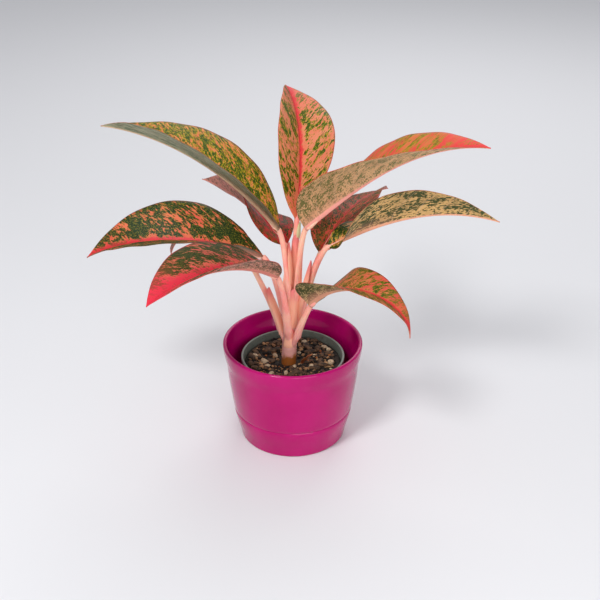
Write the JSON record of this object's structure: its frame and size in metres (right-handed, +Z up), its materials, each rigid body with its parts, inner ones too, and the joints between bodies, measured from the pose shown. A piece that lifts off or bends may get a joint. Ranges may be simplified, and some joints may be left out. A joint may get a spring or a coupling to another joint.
{
  "type": "potted chinese evergreen",
  "caption": "Potted aglaonema: arching pink and green mottled leaves on pink stalks from a short stem, in soil in a thin grower pot that stands inside a glossy magenta cover pot.",
  "frame": {"origin": "middle of the flat foot of the cover pot, on the surface it stands on", "axes": "+Z up; +X to the right across the widest spread of the leaves; -Y is the front, towards a viewer"},
  "size_m": [0.3973, 0.2811, 0.3342],
  "materials": {
    "magenta_glaze": "high gloss magenta glaze",
    "grower_plastic": "thin dark grey-green nursery plastic, slightly see-through",
    "potting_mix": "loose peat and bark mix with pale perlite",
    "stem_skin": "smooth pink fleshy stalk",
    "leaf_gold": "salmon leaf with olive and dark green speckles, satin",
    "leaf_red_green": "dark green leaf with hot pink and salmon blotches, satin",
    "dry_scale": "dry brown papery scale"
  },
  "bodies": {
    "root": {"cover_pot": "magenta_glaze", "grower_pot": "grower_plastic", "potting_soil": "potting_mix", "stem": "stem_skin", "leaf_01_upper_left": "leaf_gold", "leaf_02_upright": "leaf_gold", "leaf_03_upper_right": "leaf_gold", "leaf_04_right": "leaf_gold", "leaf_05_back_right": "leaf_red_green", "leaf_06_left": "leaf_red_green", "leaf_07_front_left": "leaf_red_green", "leaf_08_front_right": "leaf_red_green", "leaf_09_back_left": "leaf_red_green", "leaf_10_lower_left": "leaf_red_green", "dry_scale_leaf": "dry_scale"}
  },
  "joints": []
}
